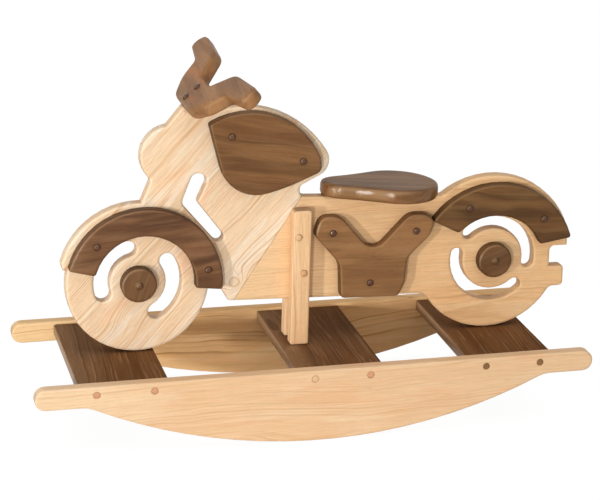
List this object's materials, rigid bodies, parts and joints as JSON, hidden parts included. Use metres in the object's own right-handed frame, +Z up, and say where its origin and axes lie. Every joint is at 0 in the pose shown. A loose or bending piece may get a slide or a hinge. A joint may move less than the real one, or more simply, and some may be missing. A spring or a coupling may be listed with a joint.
{
  "type": "rocking motorcycle toy",
  "caption": "Wooden ride-on toy: a flat motorcycle body with layered fenders, tank, engine, seat and handlebar, standing on slats between curved rockers.",
  "frame": {"origin": "on the floor under the middle of the whole toy, where the rockers stand", "axes": "+Z up, -X towards the front wheel, -Y towards the rider's left; lengths run along X"},
  "size_m": [1.0076, 0.444, 0.6443],
  "materials": {
    "pale_board": "pale softwood board, clear satin lacquer",
    "pale_rocker": "pale softwood rocker, clear satin lacquer",
    "dark_panel": "walnut-brown wood, satin lacquer",
    "dark_slat": "walnut-brown wood, satin lacquer",
    "dark_seat": "walnut-brown wood, glossy lacquer",
    "dark_button": "dark brown wood, glossy lacquer",
    "pale_button": "pale wood, satin lacquer"
  },
  "bodies": {
    "root": {"body_front_board": "pale_board", "body_rear_board": "pale_board", "button_engine_panel_left_1": "dark_button", "button_engine_panel_left_2": "dark_button", "button_engine_panel_left_3": "dark_button", "button_engine_panel_right_1": "dark_button", "button_engine_panel_right_2": "dark_button", "button_engine_panel_right_3": "dark_button", "button_front_fender_left_1": "dark_button", "button_front_fender_left_2": "dark_button", "button_front_fender_right_1": "dark_button", "button_front_fender_right_2": "dark_button", "button_handlebar_1": "dark_button", "button_handlebar_2": "dark_button", "button_post_left_1": "pale_button", "button_post_left_2": "pale_button", "button_post_right_1": "pale_button", "button_post_right_2": "pale_button", "button_rear_fender_left_1": "dark_button", "button_rear_fender_left_2": "dark_button", "button_rear_fender_right_1": "dark_button", "button_rear_fender_right_2": "dark_button", "button_tank_panel_left_1": "dark_button", "button_tank_panel_left_2": "dark_button", "button_tank_panel_right_1": "dark_button", "button_tank_panel_right_2": "dark_button", "engine_panel_left": "dark_panel", "engine_panel_right": "dark_panel", "front_fender_left": "dark_panel", "front_fender_right": "dark_panel", "front_hub_left": "dark_panel", "front_hub_right": "dark_panel", "handlebar": "dark_seat", "plug_left_1": "pale_button", "plug_left_2": "pale_button", "plug_left_3": "pale_button", "plug_left_4": "pale_button", "plug_left_5": "pale_button", "plug_left_6": "pale_button", "plug_right_1": "pale_button", "plug_right_2": "pale_button", "plug_right_3": "pale_button", "plug_right_4": "pale_button", "plug_right_5": "pale_button", "plug_right_6": "pale_button", "post_left": "pale_board", "post_right": "pale_board", "rear_fender_left": "dark_panel", "rear_fender_right": "dark_panel", "rear_hub_left": "dark_panel", "rear_hub_right": "dark_panel", "rocker_left": "pale_rocker", "rocker_right": "pale_rocker", "seat": "dark_seat", "slat_front": "dark_slat", "slat_middle": "dark_slat", "slat_rear": "dark_slat", "tank_panel_left": "dark_panel", "tank_panel_right": "dark_panel"}
  },
  "joints": []
}
